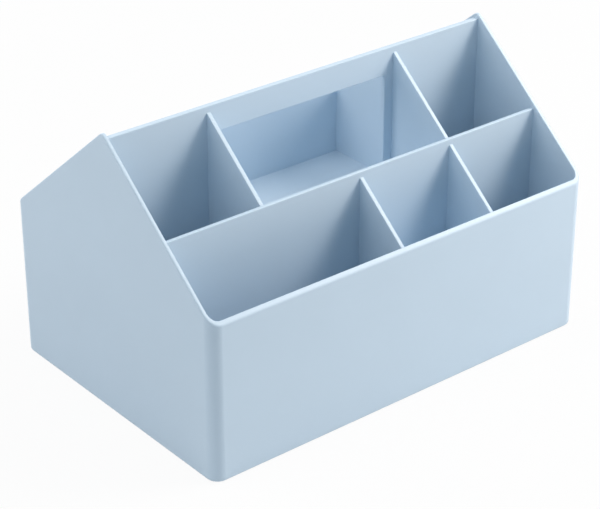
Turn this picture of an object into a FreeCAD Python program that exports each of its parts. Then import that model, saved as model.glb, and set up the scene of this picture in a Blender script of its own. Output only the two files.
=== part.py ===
import FreeCAD, Part
import math
import os

# Open house-shaped tool box: a moulded shell holds a crate of upright walls.
# Millimetres, +Z up, X along the ridge, origin at the middle of the underside.

# Overall form
LENGTH = 330.0              # outside, along the ridge
DEPTH = 225.0               # outside, front to back
APEX_HEIGHT = 210.0         # line where the two roof planes would meet
EAVE_HEIGHT = 116.5         # outer top edge of the front and back walls
APEX_RADIUS = 4.0           # rounding of the gable's peak

# Outer shell
WALL = 3.0
FLOOR = 3.0
INNER_CORNER_RADIUS = 6.0   # upright corners, inside
BASE_EDGE_RADIUS = 2.5
RIM_OUTER_RADIUS = 1.0      # rim's edge on the outside
RIM_INNER_RADIUS = 0.75     # rim's edge on the inside

# Inner walls
RIDGE_WALL = 4.0            # thickness of the wall that carries the handle
LONG_WALL = 3.0             # thickness of the lengthwise walls
DIVIDER = 3.2               # thickness of the cross dividers
LONG_WALL_OFFSET = 60.5     # middle of a lengthwise wall from the ridge line
WALL_RECESS = 4.5           # ridge and lengthwise walls below the roof planes
DIVIDER_RECESS = 7.5        # dividers below the roof planes
TOP_EDGE_RADIUS = 0.6
COLUMNS = 4                 # equal clear widths along the inside

# Handle opening and the raised floor under it
HANDLE_BAR = 20.5           # height of the bar above the opening
JAMB = 7.5                  # strip of ridge wall beside the opening
OPENING_RADIUS = 2.0
GRIP_EDGE_RADIUS = 0.8
NICHE_HEIGHT = 102.5        # upper face of the raised floor
RAISED_FLOOR = 2.5          # thickness of every raised floor

# Shallow compartment in the middle of each lower row
SHALLOW_DEPTH = 35.5        # its floor below the eave

# Housing joints: a tongue on the end of a wall stands in a blind groove
HOUSING = 0.8               # depth of a groove
FIT = 0.1                   # clearance round a tongue
SHOULDER = 8.0              # a tongue stops this far below the top of its wall

# Working values
TOLERANCE = 1e-4
TONGUE = HOUSING - FIT
INNER_X = LENGTH / 2 - WALL
INNER_Y = DEPTH / 2 - WALL
COLUMN = (2 * INNER_X + DIVIDER) / COLUMNS
ROOF_SLOPE = (APEX_HEIGHT - EAVE_HEIGHT) / (DEPTH / 2)
ROOF_ANGLE = math.atan(ROOF_SLOPE)
RIDGE_FACE = RIDGE_WALL / 2
LONG_INNER_FACE = LONG_WALL_OFFSET - LONG_WALL / 2
LONG_OUTER_FACE = LONG_WALL_OFFSET + LONG_WALL / 2
RIDGE_TOP = APEX_HEIGHT - WALL_RECESS
LONG_TOP = APEX_HEIGHT - ROOF_SLOPE * LONG_WALL_OFFSET - WALL_RECESS
NICHE_UNDERSIDE = NICHE_HEIGHT - RAISED_FLOOR
NICHE_HALF_WIDTH = COLUMN - DIVIDER / 2
OPENING_HALF_WIDTH = NICHE_HALF_WIDTH - JAMB
OPENING_TOP = RIDGE_TOP - HANDLE_BAR
SHALLOW_HEIGHT = EAVE_HEIGHT - SHALLOW_DEPTH


def vector(x, y, z):
    return FreeCAD.Vector(x, y, z)


def block(x, y, z):
    """Box between a low and a high limit on each axis."""
    return Part.makeBox(x[1] - x[0], y[1] - y[0], z[1] - z[0], vector(x[0], y[0], z[0]))


def prism(points, along):
    """Straight prism on a closed outline."""
    return Part.Face(Part.makePolygon(points + points[:1])).extrude(along)


def half_turn(shape):
    """Copy turned half a turn about the upright axis."""
    turned = shape.copy()
    turned.rotate(vector(0, 0, 0), vector(0, 0, 1), 180)
    return turned


def soften(shape, radius, wanted):
    """Round the edges that a test picks out."""
    return shape.makeFillet(radius, [edge for edge in shape.Edges if wanted(edge)])


def is_upright(edge):
    box = edge.BoundBox
    return box.XLength < TOLERANCE and box.YLength < TOLERANCE


def edge_points(edge):
    """Ends and middle of an edge."""
    first, last = edge.ParameterRange
    return [edge.valueAt(at) for at in (first, (first + last) / 2, last)]


def roof_height(y):
    """Height of the rounded roof surface over a line at y."""
    tangent_y = APEX_RADIUS * math.sin(ROOF_ANGLE)
    if abs(y) >= tangent_y:
        return APEX_HEIGHT - ROOF_SLOPE * abs(y)
    arc_centre = APEX_HEIGHT - APEX_RADIUS / math.cos(ROOF_ANGLE)
    return arc_centre + math.sqrt(APEX_RADIUS ** 2 - y ** 2)


def divider_height(y):
    """Height of a divider's sloping top over a line at y."""
    return APEX_HEIGHT - ROOF_SLOPE * abs(y) - DIVIDER_RECESS


def rounded_block(half_x, half_y, radius, z):
    """Box centred on the upright axis, with its upright corners rounded."""
    return soften(block((-half_x, half_x), (-half_y, half_y), z), radius, is_upright)


def house_prism():
    """House-shaped block with a rounded peak, as long as the shell."""
    start = -LENGTH / 2
    eave = DEPTH / 2
    tangent_y = APEX_RADIUS * math.sin(ROOF_ANGLE)
    tangent_z = roof_height(tangent_y)

    def at(y, z):
        return vector(start, y, z)

    peak = Part.Arc(at(-tangent_y, tangent_z), at(0, roof_height(0)), at(tangent_y, tangent_z))
    back = Part.makePolygon([at(tangent_y, tangent_z), at(eave, EAVE_HEIGHT), at(eave, 0), at(-eave, 0),
                             at(-eave, EAVE_HEIGHT), at(-tangent_y, tangent_z)])
    outline = Part.Wire([peak.toShape()] + back.Edges)
    return Part.Face(outline).extrude(vector(LENGTH, 0, 0))


def outer_shell():
    """Floor and four walls in one moulding, its rim cut by the two roof planes."""
    corner_radius = INNER_CORNER_RADIUS + WALL
    outside = rounded_block(LENGTH / 2, DEPTH / 2, corner_radius, (0, APEX_HEIGHT)).common(house_prism())
    cavity = rounded_block(INNER_X, INNER_Y, INNER_CORNER_RADIUS, (FLOOR, APEX_HEIGHT + FLOOR))
    shell = outside.cut(cavity)
    shell = soften(shell, BASE_EDGE_RADIUS, lambda edge: edge.BoundBox.ZMax < TOLERANCE)

    def on_rim(edge):
        return all(abs(point.z - roof_height(point.y)) < TOLERANCE for point in edge_points(edge))

    def on_outside(edge):
        return any(abs(point.x) > INNER_X + TOLERANCE or abs(point.y) > INNER_Y + TOLERANCE
                   for point in edge_points(edge))

    shell = soften(shell, min(RIM_OUTER_RADIUS, WALL / 2),
                   lambda edge: on_rim(edge) and on_outside(edge))
    return soften(shell, min(RIM_INNER_RADIUS, WALL / 4),
                  lambda edge: on_rim(edge) and not on_outside(edge))


def lengthwise_wall(middle, thickness, top):
    """Wall along the ridge direction, with a tongue at each end for the gables."""
    tongue_x = INNER_X + TONGUE
    tongue_top = top - SHOULDER
    outline = [(-tongue_x, FLOOR), (tongue_x, FLOOR), (tongue_x, tongue_top), (INNER_X, tongue_top),
               (INNER_X, top), (-INNER_X, top), (-INNER_X, tongue_top), (-tongue_x, tongue_top)]
    wall = prism([vector(x, middle - thickness / 2, z) for x, z in outline], vector(0, thickness, 0))
    return soften(wall, min(TOP_EDGE_RADIUS, thickness / 4),
                  lambda edge: edge.BoundBox.ZMin > top - TOLERANCE and edge.BoundBox.XLength > thickness)


def lengthwise_grooves(middle, thickness, top):
    """Room for both end tongues of a lengthwise wall."""
    reach = INNER_X + HOUSING
    side = thickness / 2 + FIT
    return block((-reach, reach), (middle - side, middle + side), (FLOOR, top - SHOULDER + FIT))


def ridge_wall():
    """Wall under the roof's peak, with the opening that leaves a handle bar."""
    wall = lengthwise_wall(0, RIDGE_WALL, RIDGE_TOP)
    opening = block((-OPENING_HALF_WIDTH, OPENING_HALF_WIDTH), (-RIDGE_WALL, RIDGE_WALL),
                    (NICHE_UNDERSIDE, OPENING_TOP))

    def upper_corner(edge):
        return edge.BoundBox.ZMin > OPENING_TOP - TOLERANCE and edge.BoundBox.XLength < TOLERANCE

    wall = wall.cut(soften(opening, OPENING_RADIUS, upper_corner))

    def on_grip(edge):
        box = edge.BoundBox
        inside = max(abs(box.XMin), abs(box.XMax)) < OPENING_HALF_WIDTH + TOLERANCE
        along_face = box.YLength < TOLERANCE
        return inside and along_face and NICHE_UNDERSIDE + TOLERANCE < box.ZMax < OPENING_TOP + TOLERANCE

    return soften(wall, min(GRIP_EDGE_RADIUS, RIDGE_WALL / 4), on_grip)


def divider(column, near_y, far_y):
    """Cross divider on the front side, from the wall at near_y down to the wall at far_y."""
    near_top = divider_height(near_y)
    far_top = divider_height(far_y)
    near_tongue = near_top - SHOULDER
    far_tongue = far_top - SHOULDER
    outline = [(near_y - TONGUE, FLOOR), (near_y - TONGUE, near_tongue), (near_y, near_tongue),
               (near_y, near_top), (far_y, far_top), (far_y, far_tongue),
               (far_y + TONGUE, far_tongue), (far_y + TONGUE, FLOOR)]
    left = column * COLUMN - DIVIDER / 2
    panel = prism([vector(left, -y, z) for y, z in outline], vector(DIVIDER, 0, 0))

    def on_top(edge):
        return all(abs(point.z - divider_height(point.y)) < TOLERANCE and point.y < -near_y + TOLERANCE
                   for point in edge_points(edge)) and edge.BoundBox.YLength > TOLERANCE

    return soften(panel, min(TOP_EDGE_RADIUS, DIVIDER / 4), on_top)


def divider_grooves(column, near_y, far_y):
    """Room for the two end tongues of a front divider."""
    side = DIVIDER / 2 + FIT
    x = (column * COLUMN - side, column * COLUMN + side)
    near = block(x, (-near_y, HOUSING - near_y), (FLOOR, divider_height(near_y) - SHOULDER + FIT))
    far = block(x, (-far_y - HOUSING, -far_y), (FLOOR, divider_height(far_y) - SHOULDER + FIT))
    return near.fuse(far)


def raised_floor(x, y, top):
    """Floor in the clear space between upright walls, with a tongue along each of its four sides."""
    z = (top - RAISED_FLOOR, top)
    lengthwise = block((x[0] - TONGUE, x[1] + TONGUE), (y[0] + FIT, y[1] - FIT), z)
    crosswise = block((x[0] + FIT, x[1] - FIT), (y[0] - TONGUE, y[1] + TONGUE), z)
    return lengthwise.fuse(crosswise).removeSplitter()


def floor_grooves(x, y, top):
    """Room for a raised floor in the walls round it, and in a wall that it passes through."""
    z = (top - RAISED_FLOOR, top + FIT)
    lengthwise = block((x[0] - HOUSING, x[1] + HOUSING), y, z)
    crosswise = block(x, (y[0] - HOUSING, y[1] + HOUSING), z)
    return lengthwise.fuse(crosswise)


# Raised floors: clear space along, clear space across, upper face
NICHE = ((-NICHE_HALF_WIDTH, NICHE_HALF_WIDTH), (-LONG_INNER_FACE, LONG_INNER_FACE), NICHE_HEIGHT)
SHALLOW = ((DIVIDER / 2, COLUMN - DIVIDER / 2), (-INNER_Y, -LONG_OUTER_FACE), SHALLOW_HEIGHT)

# Front dividers: name, name of the same piece turned to the back, column line, row
UPPER_ROW = (RIDGE_FACE, LONG_INNER_FACE)
LOWER_ROW = (LONG_OUTER_FACE, INNER_Y)
DIVIDERS = [
    ("front_upper_left_divider", "back_upper_right_divider", -1, UPPER_ROW),
    ("front_upper_right_divider", "back_upper_left_divider", 1, UPPER_ROW),
    ("front_lower_middle_divider", "back_lower_middle_divider", 0, LOWER_ROW),
    ("front_lower_right_divider", "back_lower_left_divider", 1, LOWER_ROW),
]


def build():
    """All pieces of the tool box by name, with the grooves of every joint cut."""
    front_long_wall = lengthwise_wall(-LONG_WALL_OFFSET, LONG_WALL, LONG_TOP)
    parts = {
        "outer_shell": outer_shell(),
        "ridge_wall": ridge_wall(),
        "front_long_wall": front_long_wall,
        "back_long_wall": half_turn(front_long_wall),
    }
    gable_grooves = [lengthwise_grooves(0, RIDGE_WALL, RIDGE_TOP)]
    gable_grooves += [lengthwise_grooves(side * LONG_WALL_OFFSET, LONG_WALL, LONG_TOP) for side in (-1, 1)]
    niche_grooves = floor_grooves(*NICHE)
    shallow_grooves = floor_grooves(*SHALLOW)
    tongue_grooves = [shallow_grooves, half_turn(shallow_grooves)]
    for front_name, back_name, column, row in DIVIDERS:
        panel = divider(column, *row).cut([niche_grooves, shallow_grooves])
        grooves = divider_grooves(column, *row)
        parts[front_name] = panel
        parts[back_name] = half_turn(panel)
        tongue_grooves += [grooves, half_turn(grooves)]

    parts["outer_shell"] = parts["outer_shell"].cut(gable_grooves + tongue_grooves)
    for name in ("ridge_wall", "front_long_wall", "back_long_wall"):
        parts[name] = parts[name].cut(tongue_grooves + [niche_grooves])
    parts["niche_floor"] = raised_floor(*NICHE)
    parts["front_shallow_floor"] = raised_floor(*SHALLOW)
    parts["back_shallow_floor"] = half_turn(parts["front_shallow_floor"])
    return parts


os.makedirs("parts", exist_ok=True)
for name, shape in build().items():
    shape.exportStep(os.path.join("parts", name + ".step"))
    print(name, len(shape.Solids), shape.isValid(), round(shape.Volume))
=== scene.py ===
"""Looks of an open, house-shaped tool box: its mouldings, their plastic, a studio and a camera."""

import logging
import math
from collections.abc import Callable
from dataclasses import dataclass
from enum import Enum

import bmesh
import bpy
from bmesh.types import BMEdge, BMFace
from mathutils import Matrix, Vector


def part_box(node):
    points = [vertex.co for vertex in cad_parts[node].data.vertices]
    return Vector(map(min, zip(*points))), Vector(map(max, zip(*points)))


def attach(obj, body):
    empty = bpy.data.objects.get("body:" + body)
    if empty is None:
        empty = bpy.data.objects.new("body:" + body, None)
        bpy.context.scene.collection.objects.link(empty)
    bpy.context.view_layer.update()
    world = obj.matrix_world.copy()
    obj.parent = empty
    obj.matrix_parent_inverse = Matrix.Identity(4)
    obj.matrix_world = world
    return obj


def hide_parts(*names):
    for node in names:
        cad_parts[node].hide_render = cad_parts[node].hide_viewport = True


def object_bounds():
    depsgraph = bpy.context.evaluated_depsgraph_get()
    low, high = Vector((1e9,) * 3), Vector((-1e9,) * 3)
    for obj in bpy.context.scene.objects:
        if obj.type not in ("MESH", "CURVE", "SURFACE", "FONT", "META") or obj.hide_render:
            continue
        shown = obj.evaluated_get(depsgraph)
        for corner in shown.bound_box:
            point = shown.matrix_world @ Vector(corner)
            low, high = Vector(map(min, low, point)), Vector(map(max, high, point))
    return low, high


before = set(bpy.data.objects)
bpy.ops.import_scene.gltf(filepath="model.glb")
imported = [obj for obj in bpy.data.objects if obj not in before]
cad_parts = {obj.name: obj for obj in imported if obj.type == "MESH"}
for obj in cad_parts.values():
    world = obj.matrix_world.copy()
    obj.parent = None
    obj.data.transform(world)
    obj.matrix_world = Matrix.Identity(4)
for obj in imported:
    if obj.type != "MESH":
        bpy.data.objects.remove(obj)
CAD_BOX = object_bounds()

LOG = logging.getLogger("tool_box")
BODY = "root"
MM = 0.001
TOUCH = 0.001 * MM
FACING = 0.5  # a face whose normal has more than this along an axis faces that way
X_AXIS = Vector((1.0, 0.0, 0.0))
Y_AXIS = Vector((0.0, 1.0, 0.0))
Z_AXIS = Vector((0.0, 0.0, 1.0))
WHITE = (1.0, 1.0, 1.0, 1.0)


class Slot(Enum):
    """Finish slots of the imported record."""

    SHELL = "shell_plastic"
    WALL = "wall_plastic"
    FLOOR = "floor_plastic"


class Slope(Enum):
    """The two roof slopes, by the sign of the side that they fall to."""

    FRONT = -1
    BACK = 1


@dataclass(frozen=True)
class Plane:
    """A cutting plane, with its normal pointing to what is cut away."""

    point: Vector
    normal: Vector


@dataclass(frozen=True)
class Roof:
    """The open roof: two slopes, rounded where they meet over the ridge.

    Every gable, wall and divider ends on these slopes or a little below them.
    """

    apex_height: float = 210.0 * MM
    eave_height: float = 116.5 * MM
    half_depth: float = 112.5 * MM
    peak_radius: float = 4.0 * MM
    peak_facets: int = 9

    @property
    def pitch(self) -> float:
        """Angle of a slope to the level, in radians."""
        return math.atan2(self.apex_height - self.eave_height, self.half_depth)

    def slope_plane(self, slope: Slope, recess: float = 0.0) -> Plane:
        """Plane of one slope.

        Args:
            slope: The side that the slope falls to.
            recess: How far below the slope the plane lies, measured upright.

        Returns:
            The plane, with its normal pointing up and out.
        """
        normal = Vector((0.0, slope.value * math.sin(self.pitch), math.cos(self.pitch)))
        return Plane(Vector((0.0, 0.0, self.apex_height - recess)), normal)

    def planes(self) -> list[Plane]:
        """Both slopes and the facets of the rounded peak between them.

        Returns:
            The planes that trim a wall to the roof.
        """
        centre = self.apex_height - self.peak_radius / math.cos(self.pitch)
        planes = [self.slope_plane(slope) for slope in Slope]
        for facet in range(self.peak_facets):
            lean = self.pitch * (2 * (facet + 1) / (self.peak_facets + 1) - 1)
            normal = Vector((0.0, math.sin(lean), math.cos(lean)))
            planes.append(Plane(Vector((0.0, 0.0, centre)) + normal * self.peak_radius, normal))
        return planes


@dataclass(frozen=True)
class MouldedPlastic:
    """Matt plastic with the fine grain that a spark-eroded mould leaves."""

    name: str
    colour: tuple[float, float, float] = (0.58, 0.71, 0.83)
    mottle: float = 0.02
    mottle_size: float = 45.0 * MM
    mottle_detail: float = 3.0
    roughness: tuple[float, float] = (0.40, 0.48)
    roughness_patch: float = 9.0 * MM
    roughness_detail: float = 4.0
    grain_size: float = 0.45 * MM
    grain_detail: float = 2.0
    grain_depth: float = 0.012 * MM
    refraction: float = 1.54

    def shade(self, share: float) -> tuple[float, float, float, float]:
        """Colour made lighter or darker by a share of itself."""
        return (*(channel * (1.0 + share) for channel in self.colour), 1.0)

    def material(self) -> bpy.types.Material:
        """Node material of the plastic.

        Returns:
            A material whose grain, patchy sheen and faint mottle sit on Object coordinates.
        """
        material = bpy.data.materials.new(self.name)
        material.use_nodes = True
        tree = material.node_tree
        shader = tree.nodes["Principled BSDF"]
        shader.inputs["IOR"].default_value = self.refraction
        place = tree.nodes.new("ShaderNodeTexCoord").outputs["Object"]

        def noise(size: float, detail: float) -> bpy.types.NodeSocket:
            """Noise that keeps its real size on the object.

            Args:
                size: Size of its largest patches, in metres.
                detail: Number of finer layers in it.

            Returns:
                The socket of the noise.
            """
            node = tree.nodes.new("ShaderNodeTexNoise")
            node.inputs["Scale"].default_value = 1.0 / size
            node.inputs["Detail"].default_value = detail
            tree.links.new(place, node.inputs["Vector"])
            return node.outputs["Fac"]

        tint = tree.nodes.new("ShaderNodeMix")
        tint.data_type = "RGBA"
        tint.inputs["A"].default_value = self.shade(-self.mottle)
        tint.inputs["B"].default_value = self.shade(self.mottle)
        tree.links.new(noise(self.mottle_size, self.mottle_detail), tint.inputs["Factor"])
        tree.links.new(tint.outputs["Result"], shader.inputs["Base Color"])

        sheen = tree.nodes.new("ShaderNodeMapRange")
        smoothest, roughest = self.roughness
        sheen.inputs["To Min"].default_value = smoothest
        sheen.inputs["To Max"].default_value = roughest
        tree.links.new(noise(self.roughness_patch, self.roughness_detail), sheen.inputs["Value"])
        tree.links.new(sheen.outputs["Result"], shader.inputs["Roughness"])

        grain = tree.nodes.new("ShaderNodeBump")
        grain.inputs["Distance"].default_value = self.grain_depth
        tree.links.new(noise(self.grain_size, self.grain_detail), grain.inputs["Height"])
        tree.links.new(grain.outputs["Normal"], shader.inputs["Normal"])
        return material


class MouldedMesh:
    """A mesh that starts as a block and is trimmed, opened, bridged and rounded."""

    smooth_angle = math.radians(40.0)

    def __init__(self) -> None:
        """Start with nothing."""
        self.bm = bmesh.new()

    def add_block(self, low: Vector, high: Vector) -> None:
        """Add a block between two corners.

        Args:
            low: Lowest corner.
            high: Highest corner.
        """
        size = Matrix.Diagonal((*(high - low), 1.0))
        bmesh.ops.create_cube(self.bm, size=1.0, matrix=Matrix.Translation((low + high) / 2) @ size)

    def absorb(self, other: "MouldedMesh") -> None:
        """Take over another mesh's faces.

        Args:
            other: The mesh to take over, which is empty afterwards.
        """
        carrier = bpy.data.meshes.new("carrier")
        other.bm.to_mesh(carrier)
        other.bm.free()
        self.bm.from_mesh(carrier)
        bpy.data.meshes.remove(carrier)

    def cut(self, plane: Plane, keep_outer: bool = False) -> None:
        """Cut the mesh along a plane.

        Args:
            plane: The plane, whose normal points to the outer side.
            keep_outer: Whether the outer side stays, so that the cut only scores the faces.
        """
        everything = [*self.bm.verts, *self.bm.edges, *self.bm.faces]
        bmesh.ops.bisect_plane(self.bm, geom=everything, plane_co=plane.point,
                               plane_no=plane.normal, clear_outer=not keep_outer)

    def drop_faces(self, unwanted: Callable[[BMFace], bool]) -> None:
        """Remove the faces that a test picks out."""
        dropped = [face for face in self.bm.faces if unwanted(face)]
        bmesh.ops.delete(self.bm, geom=dropped, context="FACES")

    def flip(self) -> None:
        """Turn every face round."""
        bmesh.ops.reverse_faces(self.bm, faces=self.bm.faces[:])

    def close(self) -> None:
        """Cap every open edge loop with a flat face."""
        bmesh.ops.holes_fill(self.bm, edges=self.open_edges())

    def open_edges(self) -> list[BMEdge]:
        """Edges that bound only one face."""
        return [edge for edge in self.bm.edges if edge.is_boundary]

    def bridge(self) -> list[BMEdge]:
        """Join the two open loops with a strip of faces.

        Returns:
            The edges of both loops.
        """
        loops = self.open_edges()
        bmesh.ops.bridge_loops(self.bm, edges=loops)
        return loops

    def edges(self, wanted: Callable[[BMEdge], bool]) -> list[BMEdge]:
        """Edges that a test picks out."""
        return [edge for edge in self.bm.edges if wanted(edge)]

    def round(self, edges: list[BMEdge], radius: float, segments: int) -> None:
        """Round edges off.

        Args:
            edges: The edges to round.
            radius: Distance from the edge at which the rounding starts.
            segments: Number of facets across the rounding.
        """
        bmesh.ops.bevel(self.bm, geom=edges, offset=radius, offset_type="OFFSET", segments=segments,
                        profile=0.5, affect="EDGES", material=-1, clamp_overlap=False)

    def piece(self, name: str, material: bpy.types.Material) -> bpy.types.Object:
        """Make the mesh an object of the scene.

        Args:
            name: Name of the object.
            material: Its finish.

        Returns:
            The object, smooth over its roundings and sharp at its square edges.
        """
        bmesh.ops.remove_doubles(self.bm, verts=self.bm.verts[:], dist=TOUCH)
        bmesh.ops.recalc_face_normals(self.bm, faces=self.bm.faces[:])
        for face in self.bm.faces:
            face.smooth = True
        for edge in self.bm.edges:
            edge.smooth = edge.calc_face_angle(0.0) < self.smooth_angle
        mesh = bpy.data.meshes.new(name)
        self.bm.to_mesh(mesh)
        self.bm.free()
        mesh.materials.append(material)
        made = bpy.data.objects.new(name, mesh)
        bpy.context.scene.collection.objects.link(made)
        normals = made.modifiers.new("even_normals", "WEIGHTED_NORMAL")
        normals.keep_sharp = True
        return made


def runs_along(edge: BMEdge, axis: Vector) -> bool:
    """Whether an edge runs along an axis."""
    return (edge.verts[1].co - edge.verts[0].co).cross(axis).length < TOUCH


def middle_of(edge: BMEdge) -> Vector:
    """Point halfway along an edge."""
    return (edge.verts[0].co + edge.verts[1].co) / 2


def lies_on(plane: Plane) -> Callable[[BMEdge], bool]:
    """Test for edges in a plane.

    Args:
        plane: The plane.

    Returns:
        A function that says whether an edge lies in the plane.
    """
    def test(edge: BMEdge) -> bool:
        """Whether both ends of an edge lie in the plane."""
        return all(abs((vert.co - plane.point).dot(plane.normal)) < TOUCH for vert in edge.verts)

    return test


@dataclass
class Moulding:
    """One moulded piece of the box, which stands for the solid of the same name."""

    node: str
    slot: Slot
    material: bpy.types.Material

    def mould(self) -> MouldedMesh:
        """Shape the piece; each kind of piece has its own way."""
        raise NotImplementedError

    def extent(self) -> tuple[Vector, Vector]:
        """Lowest and highest corner of the solid that the piece stands for."""
        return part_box(self.node)

    def build(self) -> bpy.types.Object:
        """Make the piece, dress it and seat it in the frame.

        Returns:
            The finished object.
        """
        made = self.mould().piece(f"{self.node}_moulding", self.material)
        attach(made, BODY)
        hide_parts(self.node)
        LOG.info("%s: %d faces, %s", made.name, len(made.data.polygons), self.slot.value)
        return made


@dataclass
class Shell(Moulding):
    """Floor, front, back and gables in one moulding with an open, sloping rim."""

    roof: Roof
    wall: float = 3.0 * MM
    floor: float = 3.0 * MM
    inner_corner: float = 6.0 * MM
    corner_segments: int = 12
    base_radius: float = 2.5 * MM
    foot_radius: float = 1.5 * MM
    foot_segments: int = 5
    rim_outer_radius: float = 1.0 * MM
    rim_inner_radius: float = 0.75 * MM
    rim_segments: int = 5

    def skin(self, inset: float, bottom: float, corner: float, foot: float) -> MouldedMesh:
        """Open-topped skin of the shell, trimmed to the roof.

        Args:
            inset: How far inside the outer faces the skin lies.
            bottom: Height of its floor.
            corner: Radius of its upright corners.
            foot: Radius between its floor and its sides.

        Returns:
            The skin, with an open loop along the roof.
        """
        low, high = self.extent()
        margin = Vector((inset, inset, 0.0))
        skin = MouldedMesh()
        skin.add_block(Vector((low.x, low.y, bottom)) + margin,
                       Vector((high.x, high.y, self.roof.apex_height)) - margin)
        skin.drop_faces(lambda face: face.normal.z > FACING)
        skin.round(skin.edges(lambda edge: runs_along(edge, Z_AXIS)), corner, self.corner_segments)
        base = Plane(Vector((0.0, 0.0, bottom)), Z_AXIS)
        skin.round(skin.edges(lies_on(base)), foot, self.foot_segments)
        for plane in self.roof.planes():
            skin.cut(plane)
        return skin

    def mould(self) -> MouldedMesh:
        """Join an outer and an inner skin along the rim.

        Returns:
            The closed shell, with both edges of its rim rounded.
        """
        shell = self.skin(0.0, 0.0, self.inner_corner + self.wall, self.base_radius)
        lining = self.skin(self.wall, self.floor, self.inner_corner, self.foot_radius)
        lining.flip()
        shell.absorb(lining)
        rim = shell.bridge()
        limit = self.inside_limit()

        def is_outer(edge: BMEdge) -> bool:
            """Whether an edge of the rim lies outside the inner faces."""
            return any(abs(vert.co.x) > limit.x or abs(vert.co.y) > limit.y for vert in edge.verts)

        outer = [edge for edge in rim if is_outer(edge)]
        inner = [edge for edge in rim if not is_outer(edge)]
        shell.round(outer, self.rim_outer_radius, self.rim_segments)
        shell.round(inner, self.rim_inner_radius, self.rim_segments)
        return shell

    def inside_limit(self) -> Vector:
        """Largest reach of the inner faces from the middle, with a hair's breadth to spare."""
        return self.extent()[1] - Vector((self.wall, self.wall, 0.0)) + Vector((TOUCH, TOUCH, 0.0))


@dataclass
class LongWall(Moulding):
    """Wall along the box, level on top."""

    top_radius: float = 0.6 * MM
    top_segments: int = 4

    def mould(self) -> MouldedMesh:
        """A block with its two upper edges rounded.

        Returns:
            The wall.
        """
        low, high = self.extent()
        wall = MouldedMesh()
        wall.add_block(low, high)
        top = lies_on(Plane(high, Z_AXIS))
        thickness = (high - low).y
        upper = wall.edges(lambda edge: top(edge) and edge.calc_length() > thickness + TOUCH)
        wall.round(upper, self.top_radius, self.top_segments)
        return wall


@dataclass
class HandleWall(LongWall):
    """Wall under the ridge, opened so that its top strip is the carrying handle."""

    opening_half_width: float = 72.7 * MM
    opening_top: float = 185.0 * MM
    floor_half_width: float = 80.2 * MM
    corner_radius: float = 2.0 * MM
    corner_segments: int = 6
    grip_radius: float = 0.8 * MM
    grip_segments: int = 4

    def mould(self) -> MouldedMesh:
        """Cut the hand opening, and below it the slot that the raised floor passes through.

        Returns:
            The wall with its opening.
        """
        wall = super().mould()
        floor_low, floor_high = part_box("niche_floor")

        def is_opened(face: BMFace) -> bool:
            """Tell the faces that lie over the opening or the slot.

            Args:
                face: A part of the wall's surface.

            Returns:
                Whether it is a part of the front or back that has to go.
            """
            point = face.calc_center_median()
            if abs(face.normal.y) < FACING or not floor_low.z < point.z < self.opening_top:
                return False
            in_slot = point.z < floor_high.z and abs(point.x) < self.floor_half_width
            return in_slot or abs(point.x) < self.opening_half_width

        for x in (self.opening_half_width, self.floor_half_width):
            for side in (-1, 1):
                wall.cut(Plane(X_AXIS * x * side, X_AXIS), keep_outer=True)
        for z in (floor_low.z, floor_high.z, self.opening_top):
            wall.cut(Plane(Z_AXIS * z, Z_AXIS), keep_outer=True)
        wall.drop_faces(is_opened)
        wall.bridge()
        self.soften_opening(wall, floor_high.z)
        return wall

    def soften_opening(self, wall: MouldedMesh, sill: float) -> None:
        """Round the opening's upper corners, and then its edges all round.

        Args:
            wall: The wall, already opened.
            sill: Height of the raised floor, where the opening ends.
        """
        def is_corner(edge: BMEdge) -> bool:
            """Tell the edges at the opening's upper corners.

            Args:
                edge: An edge of the wall.

            Returns:
                Whether it runs through the wall at such a corner.
            """
            middle = middle_of(edge)
            at_side = abs(abs(middle.x) - self.opening_half_width) < TOUCH
            at_top = abs(middle.z - self.opening_top) < TOUCH
            return runs_along(edge, Y_AXIS) and at_side and at_top

        def is_grip(edge: BMEdge) -> bool:
            """Tell the edges that a hand in the opening feels.

            Args:
                edge: An edge of the wall.

            Returns:
                Whether it lies between the front or back and the inside of the opening.
            """
            faces = sorted(abs(face.normal.y) for face in edge.link_faces)
            middle = middle_of(edge)
            in_width = abs(middle.x) < self.opening_half_width + TOUCH
            in_height = sill + TOUCH < middle.z < self.opening_top + TOUCH
            return in_width and in_height and faces[0] < FACING < faces[-1]

        wall.round(wall.edges(is_corner), self.corner_radius, self.corner_segments)
        wall.round(wall.edges(is_grip), self.grip_radius, self.grip_segments)


@dataclass
class Divider(Moulding):
    """Cross divider whose top follows one roof slope."""

    roof: Roof
    slope: Slope
    recess: float = 7.5 * MM
    top_radius: float = 0.6 * MM
    top_segments: int = 4

    def mould(self) -> MouldedMesh:
        """A block trimmed to the slope, with its two sloping edges rounded.

        Returns:
            The divider.
        """
        low, high = self.extent()
        panel = MouldedMesh()
        panel.add_block(low, high)
        plane = self.roof.slope_plane(self.slope, self.recess)
        panel.cut(plane)
        panel.close()
        top = lies_on(plane)
        thickness = (high - low).x
        sloping = panel.edges(lambda edge: top(edge) and edge.calc_length() > thickness + TOUCH)
        panel.round(sloping, self.top_radius, self.top_segments)
        return panel


@dataclass
class RaisedFloor(Moulding):
    """Floor of the niche under the handle, or of a shallow compartment."""

    edge_radius: float = 0.3 * MM
    edge_segments: int = 2

    def mould(self) -> MouldedMesh:
        """A plate with softened edges.

        Returns:
            The plate.
        """
        low, high = self.extent()
        plate = MouldedMesh()
        plate.add_block(low, high)
        plate.round(plate.bm.edges[:], self.edge_radius, self.edge_segments)
        return plate


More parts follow.
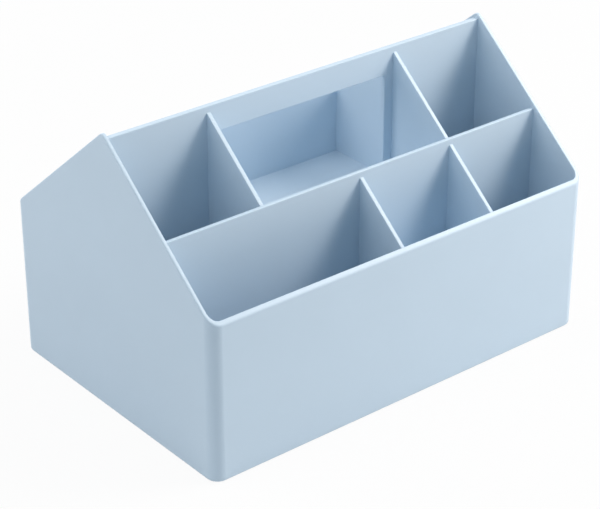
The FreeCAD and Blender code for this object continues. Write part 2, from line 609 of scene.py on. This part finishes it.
@dataclass
class ToolBox:
    """The whole box: its shell, the lengthwise walls, the dividers and the raised floors."""

    roof: Roof
    shell_plastic: MouldedPlastic
    wall_plastic: MouldedPlastic
    floor_plastic: MouldedPlastic

    def build(self) -> list[bpy.types.Object]:
        """Make every piece.

        Returns:
            The finished objects.
        """
        wall = self.wall_plastic.material()
        floor = self.floor_plastic.material()
        pieces: list[Moulding] = [
            Shell("outer_shell", Slot.SHELL, self.shell_plastic.material(), self.roof),
            HandleWall("ridge_wall", Slot.WALL, wall),
            LongWall("front_long_wall", Slot.WALL, wall),
            LongWall("back_long_wall", Slot.WALL, wall),
            RaisedFloor("niche_floor", Slot.FLOOR, floor),
            RaisedFloor("front_shallow_floor", Slot.FLOOR, floor),
            RaisedFloor("back_shallow_floor", Slot.FLOOR, floor),
        ]
        for node in sorted(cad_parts):
            if node.endswith("_divider"):
                slope = Slope.FRONT if node.startswith("front") else Slope.BACK
                pieces.append(Divider(node, Slot.WALL, wall, self.roof, slope))
        return [piece.build() for piece in pieces]


@dataclass(frozen=True)
class Softbox:
    """A large square lamp that looks at the box.

    Its azimuth is measured from +X towards +Y, and its elevation from the floor, both in degrees.
    """

    name: str
    azimuth: float
    elevation: float
    distance: float
    size: float
    power: float
    colour: tuple[float, float, float] = (1.0, 0.935, 0.88)

    def build(self, target: Vector) -> bpy.types.Object:
        """Hang the lamp.

        Args:
            target: The point that it looks at.

        Returns:
            The lamp.
        """
        lamp = bpy.data.lights.new(self.name, "AREA")
        lamp.shape = "SQUARE"
        lamp.size = self.size
        lamp.energy = self.power
        lamp.color = self.colour
        made = bpy.data.objects.new(self.name, lamp)
        turn, rise = math.radians(self.azimuth), math.radians(self.elevation)
        level = math.cos(rise)
        direction = Vector((math.cos(turn) * level, math.sin(turn) * level, math.sin(rise)))
        made.location = target + direction * self.distance
        made.rotation_euler = direction.to_track_quat("Z", "Y").to_euler()
        bpy.context.scene.collection.objects.link(made)
        LOG.info("%s: %.0f W", self.name, self.power)
        return made


@dataclass(frozen=True)
class Studio:
    """White sweep, soft sky and softboxes."""

    lamps: tuple[Softbox, ...]
    sky: float = 0.34
    sky_colour: tuple[float, float, float] = (0.65, 0.845, 1.0)
    floor_size: float = 6.0
    floor_colour: float = 0.8
    floor_glow: float = 0.93
    floor_fade: tuple[float, float] = (0.4, 1.6)

    @staticmethod
    def seen_directly(tree: bpy.types.NodeTree) -> bpy.types.NodeSocket:
        """Factor that tells a background that is seen from one that only lights.

        Args:
            tree: Node tree of the floor or the sky.

        Returns:
            The factor's socket: 1 where it is seen, mirrored or seen through, and otherwise 0.
        """
        path = tree.nodes.new("ShaderNodeLightPath")
        factor = path.outputs["Is Camera Ray"]
        for ray in ("Is Glossy Ray", "Is Transmission Ray"):
            either = tree.nodes.new("ShaderNodeMath")
            either.operation = "MAXIMUM"
            tree.links.new(factor, either.inputs[0])
            tree.links.new(path.outputs[ray], either.inputs[1])
            factor = either.outputs["Value"]
        return factor

    def build_sky(self) -> None:
        """Light the scene evenly, with a white background."""
        world = bpy.data.worlds.new("sky")
        world.use_nodes = True
        tree = world.node_tree
        light = tree.nodes["Background"]
        light.inputs["Color"].default_value = (*self.sky_colour, 1.0)
        light.inputs["Strength"].default_value = self.sky
        seen = tree.nodes.new("ShaderNodeBackground")
        seen.inputs["Color"].default_value = WHITE
        mix = tree.nodes.new("ShaderNodeMixShader")
        tree.links.new(self.seen_directly(tree), mix.inputs["Fac"])
        tree.links.new(light.outputs["Background"], mix.inputs[1])
        tree.links.new(seen.outputs["Background"], mix.inputs[2])
        tree.links.new(mix.outputs["Shader"], tree.nodes["World Output"].inputs["Surface"])
        bpy.context.scene.world = world

    def floor_material(self) -> bpy.types.Material:
        """Pale floor with a soft shadow near the box, which fades to the white of the sky.

        Returns:
            The floor's material.
        """
        material = bpy.data.materials.new("pale_floor")
        material.use_nodes = True
        tree = material.node_tree
        tree.nodes.remove(tree.nodes["Principled BSDF"])
        paint = tree.nodes.new("ShaderNodeBsdfDiffuse")
        paint.inputs["Color"].default_value = (*[self.floor_colour] * 3, 1.0)
        glow = tree.nodes.new("ShaderNodeEmission")
        glow.inputs["Color"].default_value = WHITE
        distance = tree.nodes.new("ShaderNodeVectorMath")
        distance.operation = "LENGTH"
        tree.links.new(tree.nodes.new("ShaderNodeTexCoord").outputs["Object"], distance.inputs[0])
        fade = tree.nodes.new("ShaderNodeMapRange")
        near, far = self.floor_fade
        fade.inputs["From Min"].default_value = near
        fade.inputs["From Max"].default_value = far
        fade.inputs["To Min"].default_value = self.floor_glow
        tree.links.new(distance.outputs["Value"], fade.inputs["Value"])
        share = tree.nodes.new("ShaderNodeMath")
        share.operation = "MULTIPLY"
        tree.links.new(self.seen_directly(tree), share.inputs[0])
        tree.links.new(fade.outputs["Result"], share.inputs[1])
        mix = tree.nodes.new("ShaderNodeMixShader")
        tree.links.new(share.outputs["Value"], mix.inputs["Fac"])
        tree.links.new(paint.outputs["BSDF"], mix.inputs[1])
        tree.links.new(glow.outputs["Emission"], mix.inputs[2])
        tree.links.new(mix.outputs["Shader"], tree.nodes["Material Output"].inputs["Surface"])
        return material

    def build_floor(self) -> None:
        """Lay the floor under the box."""
        sweep = bmesh.new()
        bmesh.ops.create_grid(sweep, x_segments=1, y_segments=1, size=self.floor_size / 2)
        mesh = bpy.data.meshes.new("floor")
        sweep.to_mesh(mesh)
        sweep.free()
        mesh.materials.append(self.floor_material())
        floor = bpy.data.objects.new("floor", mesh)
        bpy.context.scene.collection.objects.link(floor)

    def build(self, target: Vector) -> None:
        """Set the studio up round the box.

        Args:
            target: The point that the lamps look at.
        """
        self.build_sky()
        self.build_floor()
        for lamp in self.lamps:
            lamp.build(target)


@dataclass(frozen=True)
class PhotoCamera:
    """Camera that sees the box as the photograph does."""

    azimuth: float = -39.26
    elevation: float = 28.34
    distance: float = 1421.4 * MM
    target: tuple[float, float, float] = (-2.6 * MM, 0.0, 67.1 * MM)
    lens: float = 120.0
    sensor: float = 36.0

    def build(self) -> bpy.types.Object:
        """Place the camera and make it the scene's own.

        Returns:
            The camera.
        """
        data = bpy.data.cameras.new("photo_camera")
        data.lens = self.lens
        data.sensor_width = self.sensor
        camera = bpy.data.objects.new("photo_camera", data)
        turn, rise = math.radians(self.azimuth), math.radians(self.elevation)
        level = math.cos(rise)
        back = Vector((math.sin(turn) * level, -math.cos(turn) * level, math.sin(rise)))
        camera.location = Vector(self.target) + back * self.distance
        camera.rotation_euler = back.to_track_quat("Z", "Y").to_euler()
        bpy.context.scene.collection.objects.link(camera)
        bpy.context.scene.camera = camera
        LOG.info("camera: azimuth %.1f, elevation %.1f", self.azimuth, self.elevation)
        return camera


def main() -> None:
    """Build the box, the studio and the camera."""
    logging.basicConfig(level=logging.INFO, format="%(name)s %(message)s")
    bpy.context.scene.view_settings.view_transform = "Standard"
    ToolBox(
        roof=Roof(),
        shell_plastic=MouldedPlastic("moulded_shell"),
        wall_plastic=MouldedPlastic("moulded_wall"),
        floor_plastic=MouldedPlastic("moulded_floor"),
    ).build()
    middle = (CAD_BOX[0] + CAD_BOX[1]) / 2
    Studio(lamps=(
        Softbox("key", azimuth=330.0, elevation=40.0, distance=1.7, size=0.8, power=19.4),
        Softbox("low_key", azimuth=315.0, elevation=12.0, distance=1.7, size=0.8, power=6.2,
                colour=(1.0, 0.89, 0.79)),
        Softbox("fill", azimuth=155.0, elevation=42.0, distance=1.4, size=1.2, power=9.0),
        Softbox("top", azimuth=0.0, elevation=85.0, distance=1.4, size=0.8, power=2.8),
        Softbox("back", azimuth=90.0, elevation=28.0, distance=1.7, size=0.8, power=5.0),
    )).build(middle)
    PhotoCamera().build()


if __name__ == "__main__":
    main()
